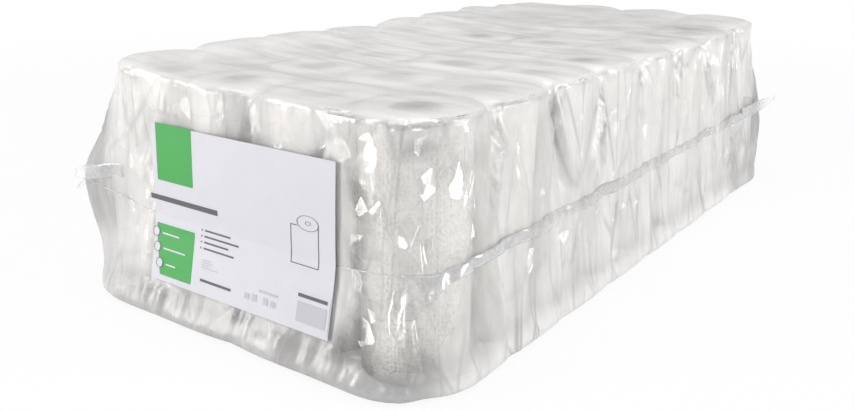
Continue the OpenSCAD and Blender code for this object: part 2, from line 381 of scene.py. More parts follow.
def makeRollShape():
    low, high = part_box(rollNames[0])
    radius = (high.x - low.x) / 2
    height = high.z - low.z
    coreLow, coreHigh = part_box(coreNames[0])
    bore = (coreHigh.y - coreLow.y) / 2 + 0.0003
    deselect()
    bpy.ops.mesh.primitive_cylinder_add(vertices=rollLook["sides"], radius=radius, depth=height)
    obj = bpy.context.object
    bpy.ops.object.mode_set(mode="EDIT")
    bm = bmesh.from_edit_mesh(obj.data)
    bpy.ops.mesh.select_all(action="DESELECT")
    bm.select_mode = {"EDGE"}
    for edge in bm.edges:
        edge.select_set(abs(edge.verts[0].co.z - edge.verts[1].co.z) > height / 2)
    bmesh.update_edit_mesh(obj.data)
    bpy.ops.mesh.subdivide(number_cuts=rollLook["heightCuts"])
    step = (radius - bore) / rollLook["turns"]
    for side in (-1, 1):
        bpy.ops.mesh.select_all(action="DESELECT")
        bpy.ops.mesh.select_mode(type="FACE")
        bm = bmesh.from_edit_mesh(obj.data)
        cap = max(bm.faces, key=lambda f: side * f.calc_center_median().z + len(f.verts) * 0.01)
        cap.select_set(True)
        bmesh.update_edit_mesh(obj.data)
        for turn in range(rollLook["turns"]):
            bpy.ops.mesh.inset(thickness=step * 0.45, depth=-rollLook["turnLift"])
            bpy.ops.mesh.inset(thickness=step * 0.55, depth=rollLook["turnLift"])
    bpy.ops.mesh.select_all(action="DESELECT")
    bm = bmesh.from_edit_mesh(obj.data)
    for face in bm.faces:
        face.select_set(len(face.verts) > 8)
    bmesh.update_edit_mesh(obj.data)
    bpy.ops.mesh.bridge_edge_loops()
    bpy.ops.object.mode_set(mode="OBJECT")
    uv = obj.data.uv_layers.active
    uv.name = "wound"
    woundUv(obj, uv, radius)
    return obj


def woundUv(obj, uv, radius):
    # Metres of paper round and up the roll, so that the embossing keeps its scale
    co = points(obj)
    for face in obj.data.polygons:
        flat = abs(face.normal.z) > 0.5
        middle = math.atan2(face.center.y, face.center.x)
        for loop in face.loop_indices:
            p = co[obj.data.loops[loop].vertex_index]
            turn = math.atan2(p[1], p[0])
            turn = middle + (turn - middle + math.pi) % (2 * math.pi) - math.pi
            around = turn * radius
            uv.data[loop].uv = (around, math.hypot(p[0], p[1])) if flat else (around, p[2])


def makeRolls():
    paper = makePaper()
    master = makeRollShape()
    base = points(master)
    made = []
    for number, name in enumerate(rollNames):
        mesh = master.data.copy()
        obj = bpy.data.objects.new("roll_%02d" % (number + 1), mesh)
        bpy.context.scene.collection.objects.link(obj)
        turn = (number * 2.399) % (2 * math.pi)
        c, s = math.cos(turn), math.sin(turn)
        angle = np.arctan2(base[:, 1], base[:, 0]) % (2 * np.pi)
        reach = np.hypot(base[:, 0], base[:, 1])
        outer = reach > reach.max() * 0.98
        low = smoothNoise(base, rollLook["dentScale"], number + 1, (1, 1, 0.5))
        dent = rollLook["shrink"] + rollLook["dent"] * np.clip(0.5 + low, 0, 1)
        dent += rollLook["tailStep"] * angle / (2 * np.pi)
        share = np.where(outer, 1 - dent / reach, 1)
        x, y = base[:, 0] * share, base[:, 1] * share
        mid = middleOf(name)
        co = np.stack([x * c - y * s + mid.x, x * s + y * c + mid.y, base[:, 2] + mid.z], 1)
        setPoints(obj, co)
        mesh.materials.append(paper)
        made.append(finishPiece(obj, [name]))
    bpy.data.objects.remove(master)
    return made


rolls = makeRolls()
print("rolls made,", len(rolls[0].data.polygons), "faces each")

coreLook = {"colour": (0.52, 0.46, 0.37)}


def makeCores():
    made, tree, shader, out = blankMaterial("core_card")
    place = add(tree, "ShaderNodeTexCoord")
    grain = add(tree, "ShaderNodeTexNoise", Scale=260.0, Detail=4.0)
    join(tree, place.outputs["Object"], grain.inputs["Vector"])
    tone = add(tree, "ShaderNodeValToRGB")
    tone.color_ramp.elements[0].color = (*[c * 0.8 for c in coreLook["colour"]], 1)
    tone.color_ramp.elements[1].color = (*coreLook["colour"], 1)
    join(tree, grain.outputs[0], tone.inputs[0])
    join(tree, tone.outputs[0], shader.inputs["Base Color"])
    bump = add(tree, "ShaderNodeBump", Strength=0.3, Distance=0.0003)
    join(tree, grain.outputs[0], bump.inputs["Height"])
    join(tree, bump.outputs[0], shader.inputs["Normal"])
    shader.inputs["Roughness"].default_value = 0.85
    for name in coreNames:
        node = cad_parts[name]
        node.data.materials.clear()
        node.data.materials.append(made)


makeCores()

# Inner film round each pair of rolls: thin, clear and crumpled into flat facets

wrapLook = {"sides": 30, "rows": 8, "roundness": 0.0010, "crumple": 0.0021, "shift": 0.0085,
            "alpha": 0.18, "creaseAlpha": 0.30, "facetDepth": 0.021, "colour": (0.93, 0.935, 0.94)}


def makeWrapFilm():
    made, tree, shader, out = blankMaterial("twin_film")
    place = add(tree, "ShaderNodeTexCoord").outputs["Object"]
    tilt, crease = facets(tree, place, (60, 60, 46), 0.07, (12, 8, 20))
    bump = add(tree, "ShaderNodeBump", Strength=1.0, Distance=wrapLook["facetDepth"])
    join(tree, tilt, bump.inputs["Height"])
    join(tree, bump.outputs[0], shader.inputs["Normal"])
    shader.inputs["Base Color"].default_value = (*wrapLook["colour"], 1)
    shader.inputs["Roughness"].default_value = 0.07
    shader.inputs["Metallic"].default_value = 0.9
    join(tree, ramp(tree, crease, 0, 1, (wrapLook["alpha"], wrapLook["creaseAlpha"])), shader.inputs["Alpha"])
    return made


def makeWrapShape(radius, height):
    deselect()
    bpy.ops.mesh.primitive_cylinder_add(vertices=wrapLook["sides"], radius=radius, depth=height)
    obj = bpy.context.object
    bpy.ops.object.mode_set(mode="EDIT")
    bm = bmesh.from_edit_mesh(obj.data)
    bm.select_mode = {"EDGE"}
    bpy.ops.mesh.select_all(action="DESELECT")
    for edge in bm.edges:
        edge.select_set(abs(edge.verts[0].co.z - edge.verts[1].co.z) > height / 2)
    bmesh.update_edit_mesh(obj.data)
    bpy.ops.mesh.subdivide(number_cuts=wrapLook["rows"])
    for side in (-1, 1):
        bpy.ops.mesh.select_mode(type="FACE")
        bpy.ops.mesh.select_all(action="DESELECT")
        bm = bmesh.from_edit_mesh(obj.data)
        for face in bm.faces:
            if len(face.verts) > 8 and face.calc_center_median().z * side > 0:
                face.select_set(True)
        bmesh.update_edit_mesh(obj.data)
        for thickness in (0.010, 0.014):
            bpy.ops.mesh.inset(thickness=thickness)
        bpy.ops.mesh.poke()
    bpy.ops.mesh.select_all(action="SELECT")
    bpy.ops.mesh.quads_convert_to_tris(quad_method="SHORTEST_DIAGONAL")
    bpy.ops.object.mode_set(mode="OBJECT")
    return obj


def makeWraps():
    film = makeWrapFilm()
    low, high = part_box(twinNames[0])
    radius = (high.y - low.y) / 2
    half = (high.x - low.x) / 2 - radius
    height = high.z - low.z - 0.0016
    master = makeWrapShape(radius + wrapLook["roundness"], height)
    base = points(master)
    made = []
    for number, name in enumerate(twinNames):
        chance = np.random.default_rng(400 + number)
        obj = bpy.data.objects.new("wrap_%02d" % (number + 1), master.data.copy())
        bpy.context.scene.collection.objects.link(obj)
        co = base.copy()
        inner = np.abs(co[:, 2]) < height / 2 - 0.004
        lid = np.hypot(co[:, 0], co[:, 1]) < radius * 0.93
        angle = chance.uniform(-1, 1, len(co)) * wrapLook["shift"] / radius * (~lid)
        c, s = np.cos(angle), np.sin(angle)
        co[:, 0], co[:, 1] = co[:, 0] * c - co[:, 1] * s, co[:, 0] * s + co[:, 1] * c
        co[:, 2] += chance.uniform(-1, 1, len(co)) * wrapLook["shift"] * inner
        side = np.clip(co[:, 0] / (radius * 0.45), -1, 1)
        middle = np.clip(1 - np.abs(co[:, 0]) / (radius * 0.55), 0, 1)
        depth = np.minimum(chance.uniform(-0.6, 1, len(co)) * wrapLook["crumple"] * (1 + middle * 2), 0.0008)
        depth -= 0.0014 * (np.abs(co[:, 2]) > height / 2 - 0.02)
        reach = np.maximum(np.hypot(co[:, 0], co[:, 1]), 0.001)
        share = np.where(lid, 1, 1 + depth / reach)
        co[:, 0] *= share
        co[:, 1] *= share
        co[:, 0] += side * half
        co[:, 1] -= np.sign(co[:, 1]) * 0.0032 * middle * (~lid)
        co[:, 2] -= np.where(lid, np.sign(co[:, 2]) * chance.uniform(0, 0.0012, len(co)), 0)
        setPoints(obj, co + np.array(middleOf(name)))
        applyModifier(obj, "SUBSURF", subdivision_type="SIMPLE", levels=2, render_levels=2)
        applyModifier(obj, "SMOOTH", factor=0.5, iterations=1)
        obj.data.materials.append(film)
        made.append(finishPiece(obj, [name]))
    bpy.data.objects.remove(master)
    return made


wraps = makeWraps()
print("inner film made,", len(wraps[0].data.polygons), "faces each")

# Outer bag: drawn tight over the rolls' tops, slack below, folded from each gap down to the seal

# The darker of the two film colours is painted shade: the film is mixed toward it in folds, creases, slack tents,
# along the foot and over the rim
bagLook = {"voxel": 0.0042, "colour": (0.955, 0.944, 0.928), "foldColour": (0.50, 0.495, 0.495),
           "roughness": 0.33, "metal": 0.06, "looseRoughness": 0.17, "looseMetal": 0.58,
           "lidVeil": 0.77, "wallVeil": 0.54, "tentVeil": 0.62, "clearVeil": 0.17, "footVeil": 0.80,
           "seam": 0.0974, "streaks": 130, "folds": 10, "lowFolds": 8, "cornerFolds": 18, "sag": 0.0034,
           "lift": 0.0115, "belly": 0.0065, "corner": 0.013}
rollMids = np.array([[middleOf(n).x, middleOf(n).y] for n in rollNames])
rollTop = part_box(rollNames[0])[1].z
wrapRadius = (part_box(twinNames[0])[1].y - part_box(twinNames[0])[0].y) / 2


def makeBagFilm():
    made, tree, shader, out = blankMaterial("bag_film")
    place = add(tree, "ShaderNodeTexCoord").outputs["Object"]
    veil, lid, fold, shade, loose = [add(tree, "ShaderNodeAttribute", attribute_name=name).outputs["Fac"]
                                     for name in ("veil", "lid", "fold", "shade", "loose")]

    def streaks(scale, detail):
        spread = add(tree, "ShaderNodeMapping")
        spread.inputs["Scale"].default_value = scale
        join(tree, place, spread.inputs["Vector"])
        made = add(tree, "ShaderNodeTexNoise", Scale=1.0, Detail=detail)
        join(tree, spread.outputs[0], made.inputs["Vector"])
        return made.outputs[0]

    def either(wall, top):
        chosen = add(tree, "ShaderNodeMix", data_type="FLOAT")
        join(tree, lid, chosen.inputs[0])
        join(tree, wall, chosen.inputs[2])
        join(tree, top, chosen.inputs[3])
        return chosen.outputs[0]

    streak = either(streaks((48, 48, 9), 2.0), streaks((6, 52, 30), 2.0))
    cloud = streaks((9, 9, 9), 2.0)
    # Long creases down the walls, in two leans
    tilt, crease1 = facets(tree, place, (26, 26, 5.0), 0.060, (10, -10, 0))
    crease2 = facets(tree, place, (21, 21, 4.2), 0.050, (-14, 13, 0))[1]
    side = ramp(tree, lid, 0, 1, (1, 0))
    tilt = math2(tree, "MULTIPLY", tilt, side)
    # The crease lines make the film denser and also darker below, as painted shade in the creases
    line = math2(tree, "MULTIPLY", math2(tree, "MAXIMUM", crease1, crease2), side)
    line = math2(tree, "MULTIPLY", line, ramp(tree, cloud, 0.38, 0.6))
    glint = facets(tree, place, (31, 31, 25), 0.05, (15, 35, 10))[0]
    alpha = math2(tree, "ADD", veil, ramp(tree, streak, 0.3, 0.75, (-0.04, 0.08)))
    alpha = math2(tree, "ADD", alpha, ramp(tree, cloud, 0.3, 0.7, (-0.08, 0.08)))
    alpha = math2(tree, "ADD", alpha, math2(tree, "MULTIPLY", fold, 0.16))
    alpha = math2(tree, "ADD", alpha, math2(tree, "MULTIPLY", line, 0.22))
    join(tree, alpha, shader.inputs["Alpha"])
    # Painted shade: the base colour is mixed toward the grey by the marked folds, the crease lines and the shade
    # attribute
    paintedShadeMix = math2(tree, "ADD", math2(tree, "MULTIPLY", fold, 0.44), math2(tree, "MULTIPLY", line, 1.0))
    paintedShadeMix = math2(tree, "ADD", paintedShadeMix, shade)
    tone = add(tree, "ShaderNodeMix", data_type="RGBA")
    tone.inputs[6].default_value = (*bagLook["colour"], 1)
    tone.inputs[7].default_value = (*bagLook["foldColour"], 1)
    join(tree, ramp(tree, paintedShadeMix, 0, 1.22), tone.inputs[0])
    join(tree, tone.outputs[2], shader.inputs["Base Color"])
    ripple = add(tree, "ShaderNodeTexNoise", Scale=34.0, Detail=2.0)
    join(tree, place, ripple.inputs["Vector"])
    fine = math2(tree, "ADD", streak, math2(tree, "MULTIPLY", ripple.outputs[0], 0.6))
    bump = add(tree, "ShaderNodeBump", Strength=0.6, Distance=0.0035)
    join(tree, fine, bump.inputs["Height"])
    glint = math2(tree, "MULTIPLY", math2(tree, "MULTIPLY", glint, side), ramp(tree, loose, 0, 1, (0.42, 1.2)))
    crumple = math2(tree, "ADD", math2(tree, "MULTIPLY", tilt, 0.5), glint)
    facet = add(tree, "ShaderNodeBump", Strength=1.0, Distance=0.009)
    join(tree, crumple, facet.inputs["Height"])
    join(tree, bump.outputs[0], facet.inputs["Normal"])
    join(tree, facet.outputs[0], shader.inputs["Normal"])
    join(tree, ramp(tree, loose, 0, 1, (bagLook["roughness"], bagLook["looseRoughness"])), shader.inputs["Roughness"])
    join(tree, ramp(tree, loose, 0, 1, (bagLook["metal"], bagLook["looseMetal"])), shader.inputs["Metallic"])
    return made


def ridge(u, v, start, end, width, height):
    # A long fold from start to end in a wall's own plane, thin at its start and wider at its end
    a, b = np.array(start), np.array(end)
    run = b - a
    length = np.hypot(*run)
    t = ((u - a[0]) * run[0] + (v - a[1]) * run[1]) / length ** 2
    off = ((u - a[0]) * run[1] - (v - a[1]) * run[0]) / length
    wide = width * (0.45 + 0.55 * np.clip(t, 0, 1))
    fade = np.clip(np.minimum(t, 1 - t) * 5 + 0.25, 0, 1)
    fade = fade * (t > -0.05) * (t < 1.05)
    return height * fade * np.exp(-(off / wide) ** 2)


def rise(t):
    t = np.clip(t, 0, 1)
    return t * t * (3 - 2 * t)


def shapeBag(obj):
    co = points(obj)
    normals = np.zeros(len(co) * 3)
    obj.data.vertices.foreach_get("normal", normals)
    normals = normals.reshape(-1, 3)
    x, y, z = co[:, 0] - blockMid.x, co[:, 1] - blockMid.y, co[:, 2]
    top = z.max()
    lid = np.clip((normals[:, 2] - 0.35) / 0.35, 0, 1) * (z > top - 0.035)
    foot = np.clip((-normals[:, 2] - 0.35) / 0.35, 0, 1)
    wall = np.clip(1 - lid - foot, 0, 1)
    chance = np.random.default_rng(11)
    seam = bagLook["seam"]
    halfX, halfY = (blockHigh.x - blockLow.x) / 2, (blockHigh.y - blockLow.y) / 2
    move = np.zeros(len(co))
    # Marks along the folds: the film is denser there, and its colour darker as painted shade in the creases
    foldMark = np.zeros(len(co))
    # Walls: s runs along the wall, which is picked by the normal
    sides = {"right": (y, normals[:, 0]), "left": (y, -normals[:, 0]), "front": (x, -normals[:, 1]),
             "far": (x, normals[:, 1])}
    for side, (s, facing) in sides.items():
        use = np.clip((facing - 0.45) / 0.25, 0, 1) * wall
        mids = np.unique(np.round(rollMids[:, 1] - blockMid.y if s is y else rollMids[:, 0] - blockMid.x, 3))
        notches = (mids[1:] + mids[:-1]) / 2
        folds = np.zeros(len(co))
        marks = np.zeros(len(co))
        for notch in notches:
            for k in range(bagLook["folds"]):
                drift = chance.uniform(-0.042, 0.042)
                start = (notch + drift * 0.12, top - chance.uniform(0.002, 0.03))
                end = (notch + drift, seam + chance.uniform(0.002, 0.05))
                high = chance.uniform(0.0014, 0.0040) * (1 if chance.random() < 0.6 else -0.8)
                folds += ridge(s, z, start, end, chance.uniform(0.0038, 0.008), high)
                marks += ridge(s, z, start, end, 0.0036, chance.uniform(0.1, 0.9))
            for k in range(bagLook["lowFolds"]):
                drift = chance.uniform(-0.04, 0.04)
                start = (notch + drift, seam - chance.uniform(0.0, 0.006))
                end = (notch + drift * chance.uniform(0.2, 1.3), chance.uniform(0.0, 0.035))
                high = chance.uniform(0.0014, 0.0038) * (1 if chance.random() < 0.6 else -0.8)
                folds += ridge(s, z, start, end, chance.uniform(0.004, 0.009), high)
                marks += ridge(s, z, start, end, 0.0040, chance.uniform(0.1, 0.8))
        for mid in mids:
            # Tucks under the rolls, marked darker as painted shade where the film tucks in under them
            marks += ridge(s, z, (mid - 0.024, 0.016), (mid + 0.010, 0.009), 0.0028, chance.uniform(0.4, 0.9))
        for edge in (-1, 1):
            reachEnd = (halfY if s is y else halfX) * edge
            for k in range(bagLook["cornerFolds"]):
                at = reachEnd + edge * chance.uniform(-0.03, 0.055)
                start = (at, top - chance.uniform(0.005, 0.05))
                end = (at + edge * chance.uniform(-0.01, 0.02), chance.uniform(0.0, 0.05))
                high = chance.uniform(0.0008, 0.0022) * (1 if chance.random() < 0.6 else -0.8)
                folds += ridge(s, z, start, end, chance.uniform(0.003, 0.006), high)
                marks += ridge(s, z, start, end, 0.0034, chance.uniform(0, 0.6))
        move += folds * use
        foldMark += marks * use
    # Small gathers along the seal
    along = smoothNoise(co, 0.016, 5, (1, 1, 0.1))
    move += 0.0026 * along * np.exp(-((z - seam) / 0.022) ** 2) * wall
    # Top: long soft streaks across the pack, pulled from side to side
    streaks = np.zeros(len(co))
    for k in range(bagLook["streaks"]):
        at = chance.uniform(-halfY * 1.02, halfY * 1.02)
        start = chance.uniform(-halfX * 1.05, halfX * 0.6)
        length = chance.uniform(0.10, 0.34)
        slope = chance.normal(0, 0.12)
        streaks += ridge(x, y, (start, at), (start + length, at + slope * length),
                         chance.uniform(0.004, 0.012), chance.uniform(0.0002, 0.0011))
    move += streaks * lid
    # Soft sag between the rolls and a little over their cores
    near = np.full(len(co), 9.0)
    for mid in rollMids:
        near = np.minimum(near, np.hypot(co[:, 0] - mid[0], co[:, 1] - mid[1]))
    sag = rise((near - wrapRadius * 0.62) / (wrapRadius * 0.75))
    deep = 0.6 + 0.8 * smoothNoise(co, 0.16, 21)
    move -= bagLook["sag"] * sag * deep * lid
    move -= 0.0012 * np.exp(-(near / 0.016) ** 2) * lid
    move += 0.0010 * lid + 0.0016 * smoothNoise(co, 0.06, 33, (0.4, 1.6, 1)) * lid
    # Never inside the rolls' film
    space = np.where(wall > 0.3, near - wrapRadius - 0.0018, 1)
    move = np.maximum(move, -np.clip(space, -0.0010, 1))
    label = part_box("label")
    behind = ((co[:, 0] > label[0].x - 0.006) & (co[:, 0] < label[1].x + 0.006) & (z > label[0].z - 0.006)
              & (z < label[1].z + 0.006) & (normals[:, 1] < -0.5))
    move = np.where(behind, np.minimum(move, -0.0006), move)
    move *= 1 - foot
    co += normals * move[:, None]
    # The film stands off the rolls' tops on the slack sides
    lift = np.maximum(rise((-x - 0.02) / 0.15), rise((y - 0.16) / 0.2) * 0.95)
    lift = lift * (0.85 + 0.45 * smoothNoise(co, 0.11, 51))
    co[:, 2] += bagLook["lift"] * lift * rise((z - 0.15) / 0.07)
    co[:, 2] = np.clip(co[:, 2], 0.0002, top + 0.0155)
    # and bellies out on the left and at the foot
    belly = np.exp(-((z - 0.10) / 0.075) ** 2) * rise((-x - halfX + 0.02) / 0.02)
    co[:, 0] -= bagLook["belly"] * belly * (0.85 + 0.4 * smoothNoise(co, 0.09, 61))
    # The far slack hangs out at mid height and tucks in under the rolls
    beyond = np.maximum(co[:, 1] - blockMid.y - halfY, 0)
    co[:, 1] += beyond * (0.14 * np.exp(-((z - 0.10) / 0.05) ** 2) - 0.5 * rise((0.045 - z) / 0.045))
    corner = rise((-x - halfX + 0.03) / 0.03) * rise((-y - halfY + 0.10) / 0.10)
    bulge = bagLook["corner"] * corner * np.exp(-((z - 0.118) / 0.042) ** 2)
    co[:, 0] -= bulge
    co[:, 1] -= bulge * 0.35 * rise((-y - halfY + 0.03) / 0.05)
    skirt = rise((0.034 - z) / 0.03)
    co[:, 1] -= 0.0065 * skirt * rise((-y - halfY) / 0.012)
    co[:, 0] += 0.0020 * skirt * rise((x - halfX) / 0.010)
    setPoints(obj, co)
    # How milky the film is at each place
    tent = rise((near - wrapRadius - 0.006) / 0.02) * wall
    veil = bagLook["wallVeil"] * wall + bagLook["lidVeil"] * lid + 0.3 * foot
    veil = veil * (1 - tent) + bagLook["tentVeil"] * tent
    veil += 0.03 * rise((-normals[:, 1] - 0.5) / 0.3) * wall * rise((0.08 - x) / 0.06) * (1 - tent)
    blotch = smoothNoise(co, 0.045, 71)
    clear = rise((x - 0.112 + 0.04 * blotch) / 0.035) * rise((-y - halfY + 0.075) / 0.05) * wall
    clear *= rise((0.226 + 0.02 * blotch - z) / 0.02)
    clear *= rise((0.216 - x) / 0.03)
    veil -= 0.15 * rise((x - halfX + 0.03) / 0.02) * rise((-y - 0.20) / 0.1) * wall * (1 - tent)
    veil = veil * (1 - clear) + (bagLook["clearVeil"] + 0.1 * blotch) * clear
    veil += (bagLook["footVeil"] - veil) * rise((0.034 - z) / 0.026)
    veil -= 0.22 * np.exp(-(near / 0.022) ** 2) * lid * np.clip(0.35 + 1.6 * smoothNoise(co, 0.10, 81), 0, 1)
    # Painted shade, where the film's colour is made greyer: the slack on the left and at the far end, and along the
    # foot
    shade = 2.25 * tent * rise((-x - 0.1) / 0.1) * (0.3 + 0.7 * rise((z - 0.05) / 0.06))
    shade += 1.5 * tent * rise((y - 0.25) / 0.1)
    low = 1.15 * rise((0.050 - z) / 0.030)
    low *= (1 - 0.75 * rise((x - 0.19) / 0.02)) * (1 - 0.5 * rise((-x - 0.15) / 0.05))
    shade = np.maximum(shade, low)
    # More painted shade over the crown's rounded rim, to damp its highlight, and towards the far end of the top
    rim = np.exp(-((normals[:, 2] - 0.62) / 0.24) ** 2) * (z > top - 0.035)
    shade = shade + 0.18 * rim + 0.20 * lid * rise((y - 0.0) / 0.3)
    loose = np.clip(clear, 0, 1) * (0.35 + 0.65 * rise((z - 0.028) / 0.03))
    edge = np.exp(-((z - top + 0.012) / 0.010) ** 2) * wall
    veil += (0.62 - veil) * edge * 0.7
    foldMark = np.clip(foldMark, 0, 1)
    for name, values in (("veil", veil), ("lid", lid), ("fold", foldMark), ("shade", shade), ("loose", loose)):
        made = obj.data.attributes.new(name, "FLOAT", "POINT")
        made.data.foreach_set("value", values.astype(np.float32))


def makeBag():
    film = makeBagFilm()
    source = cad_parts["outer_bag"]
    obj = bpy.data.objects.new("bag_film", source.data.copy())
    bpy.context.scene.collection.objects.link(obj)
    pick(obj)
    bpy.ops.object.mode_set(mode="EDIT")
    bpy.ops.mesh.select_all(action="SELECT")
    bpy.ops.mesh.remove_doubles(threshold=0.00002)
    bpy.ops.mesh.separate(type="LOOSE")
    bpy.ops.object.mode_set(mode="OBJECT")
    # The inner skin of the bag has no flap, so it is the one that is kept
    shells = sorted(bpy.context.selected_objects, key=lambda o: o.dimensions.x * o.dimensions.y)
    shells = [shell for shell in shells if shell.dimensions.x > 0.3]
    for extra in [o for o in bpy.context.selected_objects if o is not shells[0]]:
        bpy.data.objects.remove(extra)
    obj = shells[0]
    obj.name = "bag_film"
    applyModifier(obj, "REMESH", mode="VOXEL", voxel_size=bagLook["voxel"])
    applyModifier(obj, "SMOOTH", factor=0.5, iterations=2)
    pick(obj)
    bpy.ops.object.mode_set(mode="EDIT")
    bpy.ops.mesh.select_all(action="SELECT")
    bpy.ops.mesh.normals_make_consistent(inside=False)
    bpy.ops.object.mode_set(mode="OBJECT")
    shapeBag(obj)
    obj.data.materials.clear()
    obj.data.materials.append(film)
    return finishPiece(obj, ["outer_bag"])


bag = makeBag()
print("bag made,", len(bag.data.polygons), "faces")

# Sealed flap round the bag: a thin strip that droops and curls, wider at the corners, a mere line at the front

# The seal's grey is the doubled, sealed film, made darker still as painted shade for the shadow along the folded seal
flapLook = {"reach": 0.0122, "cornerReach": 0.006, "step": 0.0028, "rows": 7, "fall": 0.88, "curl": 0.0026,
            "inset": 0.0004, "colour": (0.71, 0.705, 0.715)}


def makeFlapFilm():
    made, tree, shader, out = blankMaterial("bag_seal")
    place = add(tree, "ShaderNodeTexCoord")
    ripple = add(tree, "ShaderNodeTexNoise", Scale=110.0, Detail=2.0, Distortion=0.5)
    join(tree, place.outputs["Object"], ripple.inputs["Vector"])
    cloud = add(tree, "ShaderNodeTexNoise", Scale=13.0, Detail=1.0)
    join(tree, place.outputs["Object"], cloud.inputs["Vector"])
    bump = add(tree, "ShaderNodeBump", Strength=0.35, Distance=0.0015)
    join(tree, ripple.outputs[0], bump.inputs["Height"])
    join(tree, bump.outputs[0], shader.inputs["Normal"])
    alpha = math2(tree, "ADD", ramp(tree, cloud.outputs[0], 0.35, 0.68, (0.10, 0.72)),
                  ramp(tree, ripple.outputs[0], 0.35, 0.65, (-0.1, 0.1)))
    join(tree, alpha, shader.inputs["Alpha"])
    shader.inputs["Base Color"].default_value = (*flapLook["colour"], 1)
    shader.inputs["Roughness"].default_value = 0.2
    shader.inputs["Metallic"].default_value = 0.25
    return made


def sealHeight(x, y):
    # The seal climbs from the front to the corners and along the sides
    right = 0.008 + 0.006 * rise((y + 0.40) / 0.06) + 0.003 * rise((y - 0.1) / 0.2)
    return bagLook["seam"] + 0.013 * rise((-x - 0.12) / 0.08) + right * rise((x - 0.1) / 0.1)


def seamLine():
    # The bag's outline at the height of the seal, in even steps
    co = points(bag)
    high = sealHeight(co[:, 0] - blockMid.x, co[:, 1] - blockMid.y)
    band = co[np.abs(co[:, 2] - high) < 0.005]
    mid = np.array([blockMid.x, blockMid.y])
    ways = np.linspace(-np.pi, np.pi, 721)[:-1]
    turn = np.arctan2(band[:, 1] - mid[1], band[:, 0] - mid[0])
    reach = np.hypot(band[:, 0] - mid[0], band[:, 1] - mid[1])
    radii = []
    for way in ways:
        off = np.abs((turn - way + np.pi) % (2 * np.pi) - np.pi)
        radii.append(np.quantile(reach[off < 0.010], 0.92) if (off < 0.010).any() else np.nan)
    radii = np.array(radii)
    holes = np.isnan(radii)
    radii[holes] = np.interp(ways[holes], ways[~holes], radii[~holes])
    line = np.stack([mid[0] + radii * np.cos(ways), mid[1] + radii * np.sin(ways)], 1)
    closed = np.vstack([line, line[:1]])
    length = np.concatenate([[0], np.cumsum(np.hypot(*np.diff(closed, axis=0).T))])
    even = np.arange(0, length[-1], flapLook["step"])
    line = np.stack([np.interp(even, length, closed[:, k]) for k in (0, 1)], 1)
    for k in range(2):
        line = (np.roll(line, 1, 0) + line * 2 + np.roll(line, -1, 0)) / 4
    run = np.roll(line, -3, 0) - np.roll(line, 3, 0)
    out = np.stack([run[:, 1], -run[:, 0]], 1)
    out /= np.hypot(*out.T)[:, None]
    for k in range(6):
        out = (np.roll(out, 1, 0) + out + np.roll(out, -1, 0)) / 3
    out /= np.hypot(*out.T)[:, None]
    return line, out


def makeFlap():
    line, out = seamLine()
    x, y = line[:, 0] - blockMid.x, line[:, 1] - blockMid.y
    deselect()
    bpy.ops.mesh.primitive_grid_add(x_subdivisions=len(line), y_subdivisions=flapLook["rows"] - 1, size=1)
    obj = bpy.context.object
    obj.name = "seal_flap"
    co = points(obj)
    column = np.round((co[:, 0] + 0.5) * len(line)).astype(int) % len(line)
    row = co[:, 1] + 0.5
    corner = np.abs(4 * out[:, 0] * out[:, 1] / 2) ** 4
    frontSide = rise((-out[:, 1] - 0.84) / 0.14)
    reach = flapLook["reach"] * (0.95 + 0.28 * np.array([noise.noise(Vector((a * 16, b * 16, 3))) for a, b in line]))
    reach = reach + flapLook["cornerReach"] * corner
    reach = reach * (1 - frontSide) + 0.0008 * frontSide
    wave = np.array([noise.noise(Vector((a * 42, b * 42, 7))) for a, b in line])
    quick = np.array([noise.noise(Vector((a * 120, b * 120, 9))) for a, b in line])
    curly = 0.16 + 1.1 * rise((-y - 0.20) / 0.10) * rise((x - 0.15) / 0.03)
    lean = np.array([noise.noise(Vector((a * 12, b * 12, 5))) for a, b in line])
    fall = np.clip(flapLook["fall"] + 0.16 * lean - 0.30 * corner, -0.2, 1.0) * (np.pi / 2)
    far = row * reach[column]
    side = flapLook["curl"] * ((wave + 0.55 * quick) * curly)[column] * row * (1 - frontSide[column])
    c, s = np.cos(fall[column] * row ** 0.12), np.sin(fall[column] * row ** 0.12)
    along = far * c + side * s
    down = -far * s + side * c
    jitter = 0.0022 * np.array([noise.noise(Vector((a * 90, b * 90, r * 2 + 20)))
                                for (a, b), r in zip(line[column], row)]) * row * curly[column]
    base = line[column] + out[column] * (along - flapLook["inset"])[:, None]
    tangent = np.stack([-out[column][:, 1], out[column][:, 0]], 1)
    base += tangent * jitter[:, None]
    height = sealHeight(x, y)[column] + 0.0010 * wave[column] + down
    setPoints(obj, np.stack([base[:, 0], base[:, 1], height], 1))
    obj.matrix_world = Matrix.Identity(4)
    closeUp(obj)
    applyModifier(obj, "SOLIDIFY", thickness=0.0005, offset=0)
    obj.data.materials.append(flapFilm)
    return finishPiece(obj)


# Loose ends of the seal: where each starts and ends, how tall, how far its end curls
tabs = {
    "seal_tab_left": {"start": (-0.150, -0.4334, 0.1315), "end": (-0.2235, -0.4410, 0.1180),
                      "tall": 0.0150, "curl": 0.003},
    "seal_tab_far": {"start": (0.2238, 0.300, 0.1118), "end": (0.2365, 0.410, 0.1185),
                     "tall": 0.0150, "curl": 0.003},
}


